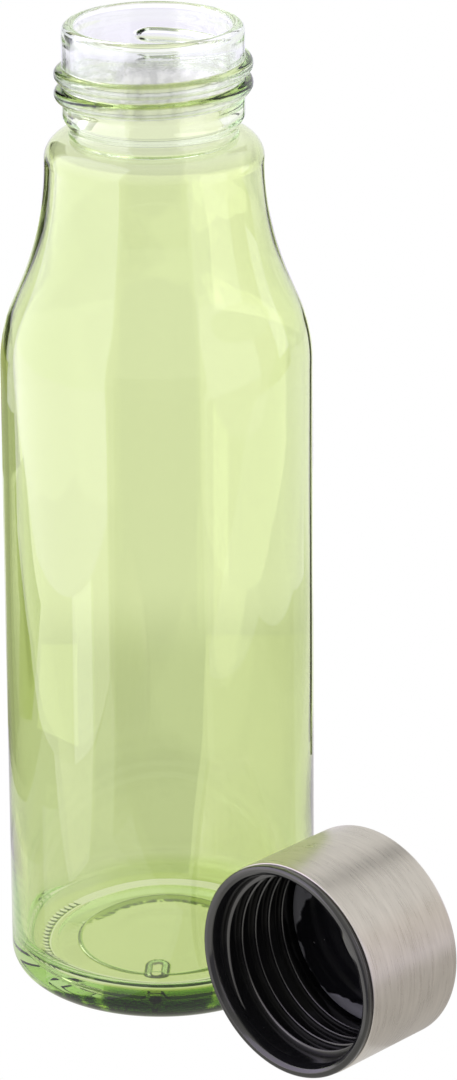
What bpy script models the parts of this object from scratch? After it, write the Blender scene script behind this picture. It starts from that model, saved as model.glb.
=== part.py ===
"""A half-litre glass drinking bottle and its screw cap.

The bottle stands upright and is empty: one turned glass wall with a round bead thread on
its neck. The cap is off and lies on its side beside it, with its open end to the front left.
Units are metres and +Z is up. The origin is under the middle of the whole, on the table.
"""

import math

import bmesh
import bpy
from mathutils import Vector

# Bottle, outside
BOTTLE_HEIGHT = 0.21766
BODY_RADIUS = 0.0341
BODY_TOP_RADIUS = 0.03375
HEEL_RADIUS = 0.0055
SHOULDER_START = 0.1431
SHOULDER_RADIUS = 0.0329
SHOULDER_SLOPE = math.radians(23.35)
WAIST_SWEEP_RADIUS = 0.0698
WAIST_RADIUS = 0.0235
COLLAR_TOP = 0.1939
COLLAR_ROUND = 0.0057

# Bottle, neck finish
NECK_RADIUS = 0.01936
NECK_UNDERSIDE = 0.1982
NECK_UNDER_ROUND = 0.0025
LIP_OUTER_ROUND = 0.0018
LIP_INNER_ROUND = 0.0010
MOUTH_RADIUS = 0.0166
THROAT_RADIUS = 0.0159
MOUTH_DEPTH = 0.0150
THROAT_DEPTH = 0.0200

# Bottle, wall and base
WALL = 0.0011
FOOT_HEIGHT = 0.075
FOOT_EXTRA = 0.0013
FLOOR_CENTRE = 0.0074
FLOOR_EDGE = 0.0064
INNER_HEEL_RADIUS = 0.0055
BEARING_INNER_RADIUS = 0.0262
BEARING_SLOPE_RADIUS = 0.0242
BEARING_SLOPE_HEIGHT = 0.0008
PANEL_RADIUS = 0.0190
PANEL_STEP = 0.0004
PANEL_EDGE_HEIGHT = 0.0018
PUSH_UP_HEIGHT = 0.0028
DIMPLE_RADIUS = 0.0023
DIMPLE_ANGLE = math.radians(-95.0)
DIMPLE_DROP = 0.0007

# Thread on the neck: a right-handed round bead, six turns to the inch
PITCH = 0.0254 / 6
BEAD_RADIUS = 0.00148
BEAD_CENTRE_RADIUS = 0.01962
BEAD_TOP = 0.2101
BEAD_TOP_ANGLE = math.radians(100.0)
BEAD_TURNS = 2.0
BEAD_FADE_TURNS = 0.09
BEAD_SINK = 0.0019
BEAD_LEAST_SIZE = 0.2

# Cap, measured along its own axis from the open end
CAP_RADIUS = 0.02404
CAP_LENGTH = 0.02885
CAP_TURN = math.radians(45.54)
CAP_TOUCH = 0.02288
SHELL_THICKNESS = 0.0006
SHELL_START = 0.0019
SHELL_ROUND = 0.0008
SHELL_HEM = 0.00025
CLEARANCE = 0.0003
FLANGE_RADIUS = 0.0239
FLANGE_LENGTH = 0.0016
RIM_OUTER_ROUND = 0.0006
RIM_FACE_RADIUS = 0.0227
CHAMFER_RADIUS = 0.0219
CHAMFER_DEPTH = 0.0006
BORE_RADIUS = 0.0213
BORE_MOUTH_LENGTH = 0.0021
INSERT_TOP_THICKNESS = 0.0013

# Thread inside the cap: the same pitch, with a flat crest and sloping flanks
RIDGE_CREST_RADIUS = 0.0200
RIDGE_ROOT_HALF_WIDTH = 0.0011
RIDGE_CREST_HALF_WIDTH = 0.0006
RIDGE_START = 0.0039
RIDGE_START_ANGLE = math.radians(43.5)
RIDGE_TURNS = 4.5
RIDGE_FADE_TURNS = 0.12
RIDGE_EMBED = 0.0004
RIDGE_END_EMBED = 0.0002

# Seal disc, with a raised ring at its rim
SEAL_RADIUS = 0.0204
SEAL_FACE_DEPTH = 0.0253
SEAL_THICKNESS = 0.0010
SEAL_RIM_WIDTH = 0.0007
SEAL_RIM_HEIGHT = 0.0003

# How finely round shapes are divided
BOTTLE_STEPS = 48
CAP_STEPS = 40
FOOT_STEPS = 3
BEAD_SIDES = 8
MERGE_DISTANCE = 0.000001


def clear_scene():
    for obj in list(bpy.data.objects):
        bpy.data.objects.remove(obj, do_unlink=True)


def new_collection(name):
    collection = bpy.data.collections.new(name)
    bpy.context.scene.collection.children.link(collection)
    return collection


def make_material(name, colour, roughness, metallic=0.0, transmission=0.0, ior=1.45):
    material = bpy.data.materials.new(name)
    material.use_nodes = True
    shader = material.node_tree.nodes["Principled BSDF"]
    shader.inputs["Base Color"].default_value = (*colour, 1.0)
    shader.inputs["Roughness"].default_value = roughness
    shader.inputs["Metallic"].default_value = metallic
    shader.inputs["Transmission Weight"].default_value = transmission
    shader.inputs["IOR"].default_value = ior
    return material


def arc(centre, radius, start_deg, end_deg, pieces):
    """Points (r, z) of an arc, both ends included."""
    points = []
    for i in range(pieces + 1):
        angle = math.radians(start_deg + (end_deg - start_deg) * i / pieces)
        points.append((centre[0] + radius * math.cos(angle), centre[1] + radius * math.sin(angle)))
    return points


def turned(name, profile, steps, material, collection):
    """A solid of revolution about its Z axis. The profile (r, z) runs down its outer side."""
    mesh = bpy.data.meshes.new(name)
    vertices = [(r, 0.0, z) for r, z in profile]
    edges = [(i, i + 1) for i in range(len(profile) - 1)]
    if profile[0][0] > 0.0:
        edges.append((len(profile) - 1, 0))
    mesh.from_pydata(vertices, edges, [])
    obj = bpy.data.objects.new(name, mesh)
    obj.data.materials.append(material)
    collection.objects.link(obj)
    screw = obj.modifiers.new("Turn", "SCREW")
    screw.axis = "Z"
    screw.steps = steps
    screw.render_steps = steps
    screw.use_merge_vertices = True
    screw.merge_threshold = MERGE_DISTANCE
    screw.use_smooth_shade = True
    return obj


def helical_ridge(name, section, pitch, turns, start_angle, start_height, fade_turns, steps):
    """A closed right-handed ridge that climbs along +Z.

    section(size) gives the (r, z) outline of the ridge, where size falls to 0 at both ends.
    """
    mesh = bmesh.new()
    count = round(turns * steps)
    rings = []
    for i in range(count + 1):
        turn = turns * i / count
        size = math.sin(0.5 * math.pi * min(1.0, turn / fade_turns, (turns - turn) / fade_turns))
        angle = start_angle + 2.0 * math.pi * turn
        height = start_height + pitch * turn
        ring = []
        for r, z in section(size):
            ring.append(mesh.verts.new((r * math.cos(angle), r * math.sin(angle), z + height)))
        rings.append(ring)
    for ring, following in zip(rings[:-1], rings[1:]):
        for j in range(len(ring)):
            k = (j + 1) % len(ring)
            mesh.faces.new((ring[j], ring[k], following[k], following[j]))
    mesh.faces.new(list(reversed(rings[0])))
    mesh.faces.new(rings[-1])
    bmesh.ops.recalc_face_normals(mesh, faces=mesh.faces)
    data = bpy.data.meshes.new(name)
    mesh.to_mesh(data)
    mesh.free()
    return bpy.data.objects.new(name, data)


def add_boolean(obj, tool, operation, tools):
    """The tool is hidden, and stays in its own collection."""
    tools.objects.link(tool)
    tool.hide_render = True
    tool.display_type = "WIRE"
    boolean = obj.modifiers.new(tool.name, "BOOLEAN")
    boolean.operation = operation
    boolean.object = tool
    boolean.solver = "EXACT"


def body_sweep(inset, pieces):
    """The wall from the straight body to the collar, going up, moved inwards by inset.

    A convex arc leaves the body, and a wide hollow arc brings it upright again at the waist.
    """
    slope = math.degrees(SHOULDER_SLOPE)
    shoulder = (BODY_TOP_RADIUS - SHOULDER_RADIUS, SHOULDER_START)
    points = arc(shoulder, SHOULDER_RADIUS - inset, 0.0, slope, pieces)
    end_r = shoulder[0] + SHOULDER_RADIUS * math.cos(SHOULDER_SLOPE)
    end_z = shoulder[1] + SHOULDER_RADIUS * math.sin(SHOULDER_SLOPE)
    sweep_r = WAIST_RADIUS + WAIST_SWEEP_RADIUS * (1.0 - math.cos(SHOULDER_SLOPE))
    sweep_z = end_z + (end_r - sweep_r) / math.tan(SHOULDER_SLOPE)
    waist = (WAIST_RADIUS + WAIST_SWEEP_RADIUS, sweep_z + WAIST_SWEEP_RADIUS * math.sin(SHOULDER_SLOPE))
    points += arc(waist, WAIST_SWEEP_RADIUS + inset, 180.0 + slope, 180.0, 2 * pieces)
    return points


def bottle_outside():
    """From the lip down to the bearing ring."""
    lip_r = NECK_RADIUS - LIP_OUTER_ROUND
    points = arc((lip_r, BOTTLE_HEIGHT - LIP_OUTER_ROUND), LIP_OUTER_ROUND, 90.0, 0.0, 4)
    under_r = NECK_RADIUS - NECK_UNDER_ROUND
    points += arc((under_r, NECK_UNDERSIDE), NECK_UNDER_ROUND, 0.0, -60.0, 3)
    collar = (WAIST_RADIUS - COLLAR_ROUND, COLLAR_TOP - COLLAR_ROUND)
    points += arc(collar, COLLAR_ROUND, 90.0, 0.0, 6)
    points += reversed(body_sweep(0.0, 3))
    heel = (BODY_RADIUS - HEEL_RADIUS, HEEL_RADIUS)
    points += arc(heel, HEEL_RADIUS, 0.0, -90.0, 6)
    return points


def bottle_underside():
    """From the bearing ring in to the middle of the push-up."""
    step_r = PANEL_RADIUS - PANEL_STEP
    edge_z = PANEL_EDGE_HEIGHT + PANEL_STEP
    points = [(BEARING_INNER_RADIUS, 0.0), (BEARING_SLOPE_RADIUS, BEARING_SLOPE_HEIGHT)]
    points += [(PANEL_RADIUS, PANEL_EDGE_HEIGHT), (step_r, edge_z)]
    points += [(0.5 * step_r, 0.25 * edge_z + 0.75 * PUSH_UP_HEIGHT), (0.0, PUSH_UP_HEIGHT)]
    return points


def foot_radius(z):
    """The inside of the body's lower part, where the wall thickens towards the floor."""
    outside = BODY_RADIUS + (BODY_TOP_RADIUS - BODY_RADIUS) * z / SHOULDER_START
    return outside - WALL - FOOT_EXTRA * (1.0 - z / FOOT_HEIGHT) ** 2


def bottle_inside():
    """From the middle of the floor up to the lip."""
    corner_z = FLOOR_EDGE + INNER_HEEL_RADIUS
    corner_r = foot_radius(corner_z) - INNER_HEEL_RADIUS
    points = [(0.0, FLOOR_CENTRE), (0.5 * corner_r, 0.25 * FLOOR_EDGE + 0.75 * FLOOR_CENTRE)]
    points += arc((corner_r, corner_z), INNER_HEEL_RADIUS, -90.0, 0.0, 4)
    for i in range(1, FOOT_STEPS + 1):
        z = corner_z + (FOOT_HEIGHT - corner_z) * i / FOOT_STEPS
        points.append((foot_radius(z), z))
    points += body_sweep(WALL, 3)
    collar = (WAIST_RADIUS - COLLAR_ROUND, COLLAR_TOP - COLLAR_ROUND)
    points += arc(collar, COLLAR_ROUND - WALL, 0.0, 90.0, 3)
    bend = collar[0] - THROAT_RADIUS
    points += arc((collar[0], COLLAR_TOP - WALL + bend), bend, -90.0, -180.0, 3)[1:]
    points += [(THROAT_RADIUS, BOTTLE_HEIGHT - THROAT_DEPTH), (MOUTH_RADIUS, BOTTLE_HEIGHT - MOUTH_DEPTH)]
    lip = (MOUTH_RADIUS + LIP_INNER_ROUND, BOTTLE_HEIGHT - LIP_INNER_ROUND)
    points += arc(lip, LIP_INNER_ROUND, 180.0, 90.0, 2)
    return points


def bead_section(size):
    """A circle that shrinks and sinks into the neck where the thread fades out."""
    radius = BEAD_RADIUS * max(size, BEAD_LEAST_SIZE)
    centre = (BEAD_CENTRE_RADIUS - BEAD_SINK * (1.0 - size), 0.0)
    return arc(centre, radius, 0.0, 360.0, BEAD_SIDES)[:-1]


def make_bottle(parts, tools):
    glass = make_material("green_glass", (0.75, 0.88, 0.48), 0.02, transmission=1.0, ior=1.5)
    profile = bottle_inside() + bottle_outside() + bottle_underside()
    bottle = turned("bottle", profile, BOTTLE_STEPS, glass, parts)
    bead = helical_ridge(
        "neck_thread",
        bead_section,
        PITCH,
        BEAD_TURNS,
        BEAD_TOP_ANGLE - 2.0 * math.pi * BEAD_TURNS,
        BEAD_TOP - PITCH * BEAD_TURNS,
        BEAD_FADE_TURNS,
        BOTTLE_STEPS,
    )
    add_boolean(bottle, bead, "UNION", tools)
    add_boolean(bottle, base_dimple(), "DIFFERENCE", tools)
    return bottle


def base_dimple():
    """The small round mark that is pressed up into the underside, on the panel's edge."""
    ball = bmesh.new()
    bmesh.ops.create_uvsphere(ball, u_segments=12, v_segments=8, radius=DIMPLE_RADIUS)
    data = bpy.data.meshes.new("base_dimple")
    ball.to_mesh(data)
    ball.free()
    cutter = bpy.data.objects.new("base_dimple", data)
    x = PANEL_RADIUS * math.cos(DIMPLE_ANGLE)
    y = PANEL_RADIUS * math.sin(DIMPLE_ANGLE)
    cutter.location = (x, y, PANEL_EDGE_HEIGHT - DIMPLE_DROP)
    return cutter


def shell_profile():
    """The steel cover: from the middle of its closed end, down its outer side, round the hem and back."""
    inner_r = CAP_RADIUS - SHELL_THICKNESS
    inner_z = CAP_LENGTH - SHELL_THICKNESS
    inner_round = SHELL_ROUND - 0.5 * SHELL_THICKNESS
    points = [(0.0, CAP_LENGTH)]
    points += arc((CAP_RADIUS - SHELL_ROUND, CAP_LENGTH - SHELL_ROUND), SHELL_ROUND, 90.0, 0.0, 3)
    points += arc((CAP_RADIUS - SHELL_HEM, SHELL_START + SHELL_HEM), SHELL_HEM, 0.0, -90.0, 2)
    points += [(inner_r, SHELL_START)]
    points += arc((inner_r - inner_round, inner_z - inner_round), inner_round, 0.0, 90.0, 2)
    points += [(0.0, inner_z)]
    return points


def insert_profile():
    """The plastic lining: a flange with a chamfered rim at the open end, and a bore shut at the top."""
    outer_r = CAP_RADIUS - SHELL_THICKNESS - CLEARANCE
    outer_z = CAP_LENGTH - SHELL_THICKNESS - CLEARANCE
    floor_z = outer_z - INSERT_TOP_THICKNESS
    points = [(0.0, outer_z), (outer_r - SHELL_ROUND, outer_z), (outer_r, outer_z - SHELL_ROUND)]
    points += [(outer_r, FLANGE_LENGTH), (FLANGE_RADIUS, FLANGE_LENGTH)]
    points += arc((FLANGE_RADIUS - RIM_OUTER_ROUND, RIM_OUTER_ROUND), RIM_OUTER_ROUND, 0.0, -90.0, 3)
    points += [(RIM_FACE_RADIUS, 0.0), (CHAMFER_RADIUS, CHAMFER_DEPTH)]
    points += [(BORE_RADIUS, BORE_MOUTH_LENGTH), (BORE_RADIUS, floor_z), (0.0, floor_z)]
    return points


def ridge_section(size):
    """A trapezium that sinks back into the bore's wall where the thread fades out."""
    root_r = BORE_RADIUS + RIDGE_EMBED
    depth = RIDGE_END_EMBED + size * (BORE_RADIUS - RIDGE_CREST_RADIUS + RIDGE_EMBED - RIDGE_END_EMBED)
    return [
        (root_r, -RIDGE_ROOT_HALF_WIDTH),
        (root_r - depth, -RIDGE_CREST_HALF_WIDTH),
        (root_r - depth, RIDGE_CREST_HALF_WIDTH),
        (root_r, RIDGE_ROOT_HALF_WIDTH),
    ]


def seal_profile():
    """A flat disc with a low ring round its edge, on the side that meets the bottle's lip."""
    back_z = SEAL_FACE_DEPTH + SEAL_THICKNESS
    rim_inner_r = SEAL_RADIUS - SEAL_RIM_WIDTH
    return [
        (0.0, back_z),
        (SEAL_RADIUS, back_z),
        (SEAL_RADIUS, SEAL_FACE_DEPTH),
        (rim_inner_r, SEAL_FACE_DEPTH),
        (rim_inner_r - SEAL_RIM_HEIGHT, SEAL_FACE_DEPTH + SEAL_RIM_HEIGHT),
        (0.0, SEAL_FACE_DEPTH + SEAL_RIM_HEIGHT),
    ]


def make_cap(parts, tools):
    """The three pieces of the cap, turned about its own axis and then laid down as one."""
    steel = make_material("brushed_steel", (0.60, 0.58, 0.54), 0.30, metallic=1.0)
    plastic = make_material("black_plastic", (0.012, 0.012, 0.013), 0.12)
    rubber = make_material("seal_black", (0.010, 0.010, 0.012), 0.18)
    shell = turned("cap_shell", shell_profile(), CAP_STEPS, steel, parts)
    insert = turned("cap_insert", insert_profile(), CAP_STEPS, plastic, parts)
    seal = turned("cap_seal", seal_profile(), CAP_STEPS, rubber, parts)
    ridge = helical_ridge(
        "cap_thread",
        ridge_section,
        PITCH,
        RIDGE_TURNS,
        RIDGE_START_ANGLE,
        RIDGE_START,
        RIDGE_FADE_TURNS,
        CAP_STEPS,
    )
    add_boolean(insert, ridge, "UNION", tools)
    cap_frame = bpy.data.objects.new("cap_frame", None)
    parts.objects.link(cap_frame)
    for obj in (shell, insert, seal, ridge):
        obj.parent = cap_frame
    return cap_frame


def lay_cap_beside(cap_frame):
    """The cap lies on its side, turned about Z, with its wall just clear of the bottle's."""
    along = Vector((math.cos(CAP_TURN), math.sin(CAP_TURN), 0.0))
    away = Vector((math.sin(CAP_TURN), -math.cos(CAP_TURN), 0.0))
    centre = away * (BODY_RADIUS + CLEARANCE + CAP_RADIUS) - along * CAP_TOUCH
    cap_frame.location = (centre.x, centre.y, CAP_RADIUS)
    cap_frame.rotation_euler = (0.0, 0.5 * math.pi, CAP_TURN)


def centre_on_origin(parts, tools, cap_frame):
    """Moves all of it sideways, so that the middle of its box is over the origin."""
    bpy.context.view_layer.update()
    graph = bpy.context.evaluated_depsgraph_get()
    corners = []
    for obj in parts.objects:
        if obj.type == "MESH":
            evaluated = obj.evaluated_get(graph)
            corners += [evaluated.matrix_world @ vertex.co for vertex in evaluated.data.vertices]
    xs = [corner.x for corner in corners]
    ys = [corner.y for corner in corners]
    shift = Vector((-0.5 * (min(xs) + max(xs)), -0.5 * (min(ys) + max(ys)), 0.0))
    for obj in [*parts.objects, *tools.objects]:
        if obj.parent is None:
            obj.location += shift


def main():
    clear_scene()
    parts = new_collection("glass_drinking_bottle")
    tools = new_collection("boolean_tools")
    make_bottle(parts, tools)
    cap_frame = make_cap(parts, tools)
    lay_cap_beside(cap_frame)
    centre_on_origin(parts, tools, cap_frame)


main()
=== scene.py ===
"""The looks of a glass drinking bottle and its screw cap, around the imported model.

The bottle stands upright, with a light green lacquer on the outside of its body and a clear neck.
The cap of brushed steel and black plastic lies on its side at the front right. Each piece here
stands for the node of the same shape, turned at a higher resolution from the same sizes.
Units are metres and +Z is up. Both are built round their own axes and then put in place.
"""

import math
import random

import bmesh
import bpy
from mathutils import Matrix, Vector, noise


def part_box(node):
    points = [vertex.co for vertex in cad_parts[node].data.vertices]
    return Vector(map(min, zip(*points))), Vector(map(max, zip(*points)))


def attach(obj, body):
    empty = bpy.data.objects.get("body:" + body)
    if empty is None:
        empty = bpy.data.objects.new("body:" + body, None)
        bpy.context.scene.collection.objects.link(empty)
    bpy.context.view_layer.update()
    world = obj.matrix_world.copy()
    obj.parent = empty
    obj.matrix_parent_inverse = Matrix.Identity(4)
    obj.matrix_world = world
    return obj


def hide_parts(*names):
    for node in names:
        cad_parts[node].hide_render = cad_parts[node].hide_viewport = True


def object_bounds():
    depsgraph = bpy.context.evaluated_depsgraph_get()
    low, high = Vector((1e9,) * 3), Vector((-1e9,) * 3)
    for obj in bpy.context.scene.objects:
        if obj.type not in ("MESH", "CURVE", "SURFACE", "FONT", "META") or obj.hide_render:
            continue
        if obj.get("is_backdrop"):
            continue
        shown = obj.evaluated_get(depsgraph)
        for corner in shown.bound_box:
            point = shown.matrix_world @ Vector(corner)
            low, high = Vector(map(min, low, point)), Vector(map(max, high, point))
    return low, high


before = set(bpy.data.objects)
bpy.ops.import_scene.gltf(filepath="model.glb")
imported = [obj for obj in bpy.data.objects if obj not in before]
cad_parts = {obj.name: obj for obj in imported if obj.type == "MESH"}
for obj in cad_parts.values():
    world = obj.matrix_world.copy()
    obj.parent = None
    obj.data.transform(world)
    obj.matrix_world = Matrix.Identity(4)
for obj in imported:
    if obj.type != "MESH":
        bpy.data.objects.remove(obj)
CAD_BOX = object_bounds()


def polar(azimuth_deg, distance):
    """A place (x, y) round the bottle: azimuth 0 is to the right, and 90 behind."""
    angle = math.radians(azimuth_deg)
    return (distance * math.cos(angle), distance * math.sin(angle))


# Bottle, outside
BOTTLE_HEIGHT = 0.21766
BODY_RADIUS = 0.0341
BODY_TOP_RADIUS = 0.03375
HEEL_RADIUS = 0.0055
SHOULDER_START = 0.1431
SHOULDER_RADIUS = 0.0329
SHOULDER_SLOPE = math.radians(23.35)
WAIST_SWEEP_RADIUS = 0.0698
WAIST_RADIUS = 0.0235
COLLAR_TOP = 0.1939
COLLAR_ROUND = 0.0057

# Bottle, neck finish
NECK_RADIUS = 0.01936
NECK_UNDERSIDE = 0.1982
NECK_UNDER_ROUND = 0.0025
LIP_OUTER_ROUND = 0.0018
LIP_INNER_ROUND = 0.0010
MOUTH_RADIUS = 0.0166
THROAT_RADIUS = 0.0159
BORE_WIDE_RADIUS = 0.0173
BORE_WIDE_DEPTH = 0.0045
BORE_EASE_LENGTH = 0.0032
LIP_GAP = 0.0002
MOUTH_DEPTH = 0.0150
THROAT_DEPTH = 0.0200

# Bottle, wall and base
WALL = 0.0011
CAVITY_SHIFT = 0.00018
FOOT_HEIGHT = 0.075
FOOT_EXTRA = 0.0013
FLOOR_CENTRE = 0.0074
FLOOR_EDGE = 0.0064
INNER_HEEL_RADIUS = 0.0055
BEARING_INNER_RADIUS = 0.0262
BEARING_SLOPE_RADIUS = 0.0242
BEARING_SLOPE_HEIGHT = 0.0008
PANEL_RADIUS = 0.0190
PANEL_STEP = 0.0004
PANEL_GROOVE = 0.0004
PANEL_EDGE_HEIGHT = 0.0018
PUSH_UP_HEIGHT = 0.0028

# Thread on the neck: a right-handed round bead, six turns to the inch
PITCH = 0.0254 / 6
BEAD_RADIUS = 0.00148
BEAD_CENTRE_RADIUS = 0.01962
BEAD_TOP = 0.21018
BEAD_TOP_ANGLE = math.radians(107.0)
BEAD_TURNS = 2.0
BEAD_FADE_TURNS = 0.045
BEAD_SINK = 0.0019
BEAD_LEAST_SIZE = 0.2
BEAD_ROUND_SHARE = 0.96
BEAD_FILLET = 0.0005

# Lacquer above the body, in thicknesses of the body's coat. On the beads' slopes it is painted
# dark green shade. A pair of slopes says where on a bead it starts and where it is full
COLLAR_LACQUER = 0.45
DRIFT_LOW = 0.25
DRIFT_HIGH = 0.0
BEAD_SHADE_SHELF_LOW = 2.7
BEAD_SHADE_SHELF_HIGH = 0.9
BEAD_SHADE_SHELF_SLOPES = (0.55, 1.3)
BEAD_SHADE_UNDERSIDE = 0.5
BEAD_SHADE_UNDERSIDE_SLOPES = (0.0, 0.8)
SLOPE_STEP = 0.0001

# Painted shade on the foot and the underside, given as extra lacquer in the same measure. A pair of
# cosines or sines is that of the angles where a patch of painted shade starts and where it is full
PATCH_CONTRAST = 1.2
GROOVE_PAINTED_SHADE = 5.0
GROOVE_SINES = (-0.5, 0.3)
SLOT_PAINTED_SHADE = 20.0
BAR_PAINTED_SHADE = 10.0
HEEL_PAINTED_SHADE = 13.0
HEEL_SHADE_HEIGHT = 0.0060
HEEL_SHADE_LOW_HEIGHT = 0.0012
HEEL_SHADE_EDGE = 0.0006
HEEL_SHADE_START = math.radians(188.0)
HEEL_SHADE_FULL = math.radians(255.0)
BACK_HEEL_ANGLE = math.radians(86.0)
BACK_HEEL_PAINTED_SHADE = 0.7
BACK_HEEL_COSINES = (0.78, 0.97)
BACK_HEEL_EDGE = (0.0062, 0.0078)
HEEL_PATCH_SIZE = 0.0032
HEEL_PATCH_LEAST = 0.3
HEEL_PATCH_STEP = (0.04, 0.30)
HEEL_FULL_COSINES = (0.985, 0.995)
BACK_SHADE_ANGLE = math.radians(97.0)
BACK_PAINTED_SHADE = 3.2
BACK_SHADE_SHIFT = 0.0030
BACK_SHADE_END_RADIUS = 0.0245
BACK_SHADE_COSINES = (0.25, 0.85)
BACK_LINE_PAINTED_SHADE = 14.0
BACK_LINE_HALF_WIDTH = 0.0009
BACK_LINE_PATCH_SIZE = 0.0009

# Unevenness of the inside, where no mould shaped it
WAVE_BODY = 0.00006
WAVE_FOOT = 0.00028
WAVE_FOOT_HEIGHT = 0.060
WAVE_LENGTH = 0.021
WAVE_UPRIGHT_SCALE = 0.6
WAVE_LIP_FADE = 0.004
CAVITY_SHIFT_FADE = 0.02
FROST_ANGLE = math.radians(265.0)
FROST_HALF_ANGLE = math.radians(88.0)
FROST_PATCH_HALF_ANGLE = math.radians(32.0)
FROST_LOW = 0.2030
FROST_HIGH = 0.2135
FROST_FADE = 0.002
FROST_PATCH_SHARE = 0.35

# Bars raised on the bearing ring, which the bottle stands on, and how finely the ring is divided
BAR_COUNT = 96
BAR_HEIGHT = 0.00016
BAR_INNER_RADIUS = 0.0268
BAR_OUTER_RADIUS = 0.0298
BAR_CLEAR_ANGLE = math.radians(175.0)
BAR_CLEAR_HALF_ANGLE = math.radians(50.0)
RING_COLUMNS = 8 * BAR_COUNT
RING_EDGE_RADIUS = 0.0264
RING_START_RADIUS = 0.0266
RING_ROW_STEP = 0.0003
RING_ROWS = 7
RING_FINE_RADIUS = 0.02855
RING_FINE_HEIGHT = 0.0004

# Slot pressed into the underside at the front, across the panel's edge
SLOT_ANGLE = math.radians(265.3)
SLOT_START = 0.0125
SLOT_END = 0.0211
SLOT_HALF_WIDTH = 0.0021
SLOT_DEPTH = 0.0014
SLOT_FLANK = 0.0009
SLOT_LINE_HALF_WIDTH = 0.0009
SLOT_FINE_START = 0.0118
SLOT_ROW_STEP = 0.0005
UNDERSIDE_ROW_STEP = 0.002
UNDERSIDE_COLUMNS = 384

# Cap, measured along its own axis from the open end
CAP_RADIUS = 0.02404
CAP_LENGTH = 0.02885
CAP_TURN = math.radians(45.54)
CAP_TOUCH = 0.02288
SHELL_THICKNESS = 0.0006
SHELL_START = 0.0019
SHELL_ROUND = 0.0008
SHELL_HEM = 0.00025
CLEARANCE = 0.0003
FLANGE_RADIUS = 0.0239
FLANGE_LENGTH = 0.0016
RIM_OUTER_ROUND = 0.0006
RIM_FACE_RADIUS = 0.0227
RIM_EDGE_ROUND = 0.00018
CHAMFER_RADIUS = 0.0219
CHAMFER_DEPTH = 0.0006
FLASH_ANGLE = math.radians(236.0)
FLASH_HALF_ANGLE = math.radians(38.0)
FLASH_WIDTH = 0.0012
FLASH_WAVES = 13.0
FLASH_WAVE_SHARE = 0.3
BORE_RADIUS = 0.0213
BORE_MOUTH_LENGTH = 0.0021
INSERT_TOP_THICKNESS = 0.0013

# Thread inside the cap: the same pitch, with a narrow crest and sloping flanks
RIDGE_CREST_RADIUS = 0.0200
RIDGE_ROOT_HALF_WIDTH = 0.00067
RIDGE_CREST_HALF_WIDTH = 0.00009
RIDGE_EDGE_ROUND = 0.00010
RIDGE_EMBED = 0.0002
RIDGE_FLANK_SHARE = 0.95
RIDGE_START = 0.0037
RIDGE_START_ANGLE = math.radians(43.5)
RIDGE_TURNS = 4.5
RIDGE_FADE_TURNS = 0.12

# Edges of the cap that are sharper than this are left unsmoothed
SHARP_ANGLE = math.radians(35.0)

# Seal disc, whose edge stands up in a ragged ring
SEAL_RADIUS = 0.0204
SEAL_FACE_DEPTH = 0.0253
SEAL_THICKNESS = 0.0010
SEAL_RIM_HEIGHT = 0.0003
SEAL_LIFT = 0.0006
SEAL_EDGE_RAGGED = 0.00022
SEAL_WAVES = (9, 14, 23, 37, 53)
SEAL_LIFT_START = 0.0176
SEAL_STEP = 0.00006
SEAL_TEAR_START = 0.00012
SEAL_TEAR_END = 0.00003
SEAL_SEED = 11

# Where the seal's film starts: degrees round the cap from its bottom as it lies, and the radius
SEAL_FILM_EDGE = (
    (-40.0, 0.0172), (0.0, 0.0174), (14.0, 0.0180), (22.0, 0.0187),
    (32.0, 0.0200), (42.0, 0.0206), (55.0, 0.0206), (59.0, 0.0197),
    (66.0, 0.0197), (69.0, 0.0206), (76.0, 0.0201), (85.0, 0.0187),
    (96.0, 0.0178), (106.0, 0.0158), (130.0, 0.0150), (320.0, 0.0172),
)

# How finely round shapes are divided
BOTTLE_COLUMNS = 192
CAP_COLUMNS = 192
SEAL_COLUMNS = 384
RIDGE_COLUMNS = 240
ROW_STEP = 0.004
INSIDE_ROW_STEP = 0.0030
NECK_ROW_STEP = 0.00017
CAP_ROW_STEP = 0.001
FOOT_ROWS = 16
BORE_EASE_ROWS = 8
SEAL_ROWS = 32
SEAL_FINE_START = 0.7

# Materials. The lacquer's and the glass's colours are what they let through
LACQUER_COLOUR = (0.664, 0.766, 0.358)
LACQUER_GRAZING = 0.36
# Lacquer thicker than this is also darkened: painted shade
PAINTED_SHADE_FROM = 2.0
PAINTED_SHADE_DARKENING = 0.80
GLASS_IOR = 1.52
GLASS_ABSORPTION_COLOUR = (0.40, 0.77, 0.15, 1.0)
GLASS_ABSORPTION_DENSITY = 15.0
FROST_LOSS = 0.60
FROST_ROUGHNESS = 0.17
FROST_PATCHES = 380.0
FROST_GRAIN = 2300.0
FROST_GRAIN_HEIGHT = 0.00006
STEEL_COLOUR = (0.585, 0.548, 0.490)
STEEL_STREAK = 0.17
STEEL_ROUGHNESS = (0.24, 0.34)
STEEL_TONES = (0.6, 1.35)
FINE_BRUSHING = (5.0, 5.0, 9000.0)
STREAK_BRUSHING = (2.2, 2.2, 1300.0)
CLOUD_BRUSHING = (3.0, 3.0, 160.0)
PLASTIC_COLOUR = (0.007, 0.007, 0.0075, 1.0)
PLASTIC_DUST = (0.06, 0.06, 0.058, 1.0)
# Painted warmth on the plastic's reflections, which evens out the bluish light of the cards
PLASTIC_REFLECTION_WARMTH = (1.0, 0.99, 0.90, 1.0)
PLASTIC_IOR = 1.66
PLASTIC_ROUGHNESS = (0.10, 0.19)
SEAL_COLOUR = (0.006, 0.006, 0.007, 1.0)
SEAL_SPECKS = (0.25, 0.24, 0.22, 1.0)
# The torn film's grey is partly its own colour and partly a painted reflection of its gloss
SEAL_FILM_AND_PAINTED_REFLECTION = (0.15, 0.15, 0.155, 1.0)
SEAL_ROUGHNESS = (0.06, 0.16)
SEAL_TORN_ROUGHNESS = 0.2
WHITE = (1.0, 1.0, 1.0, 1.0)

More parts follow.
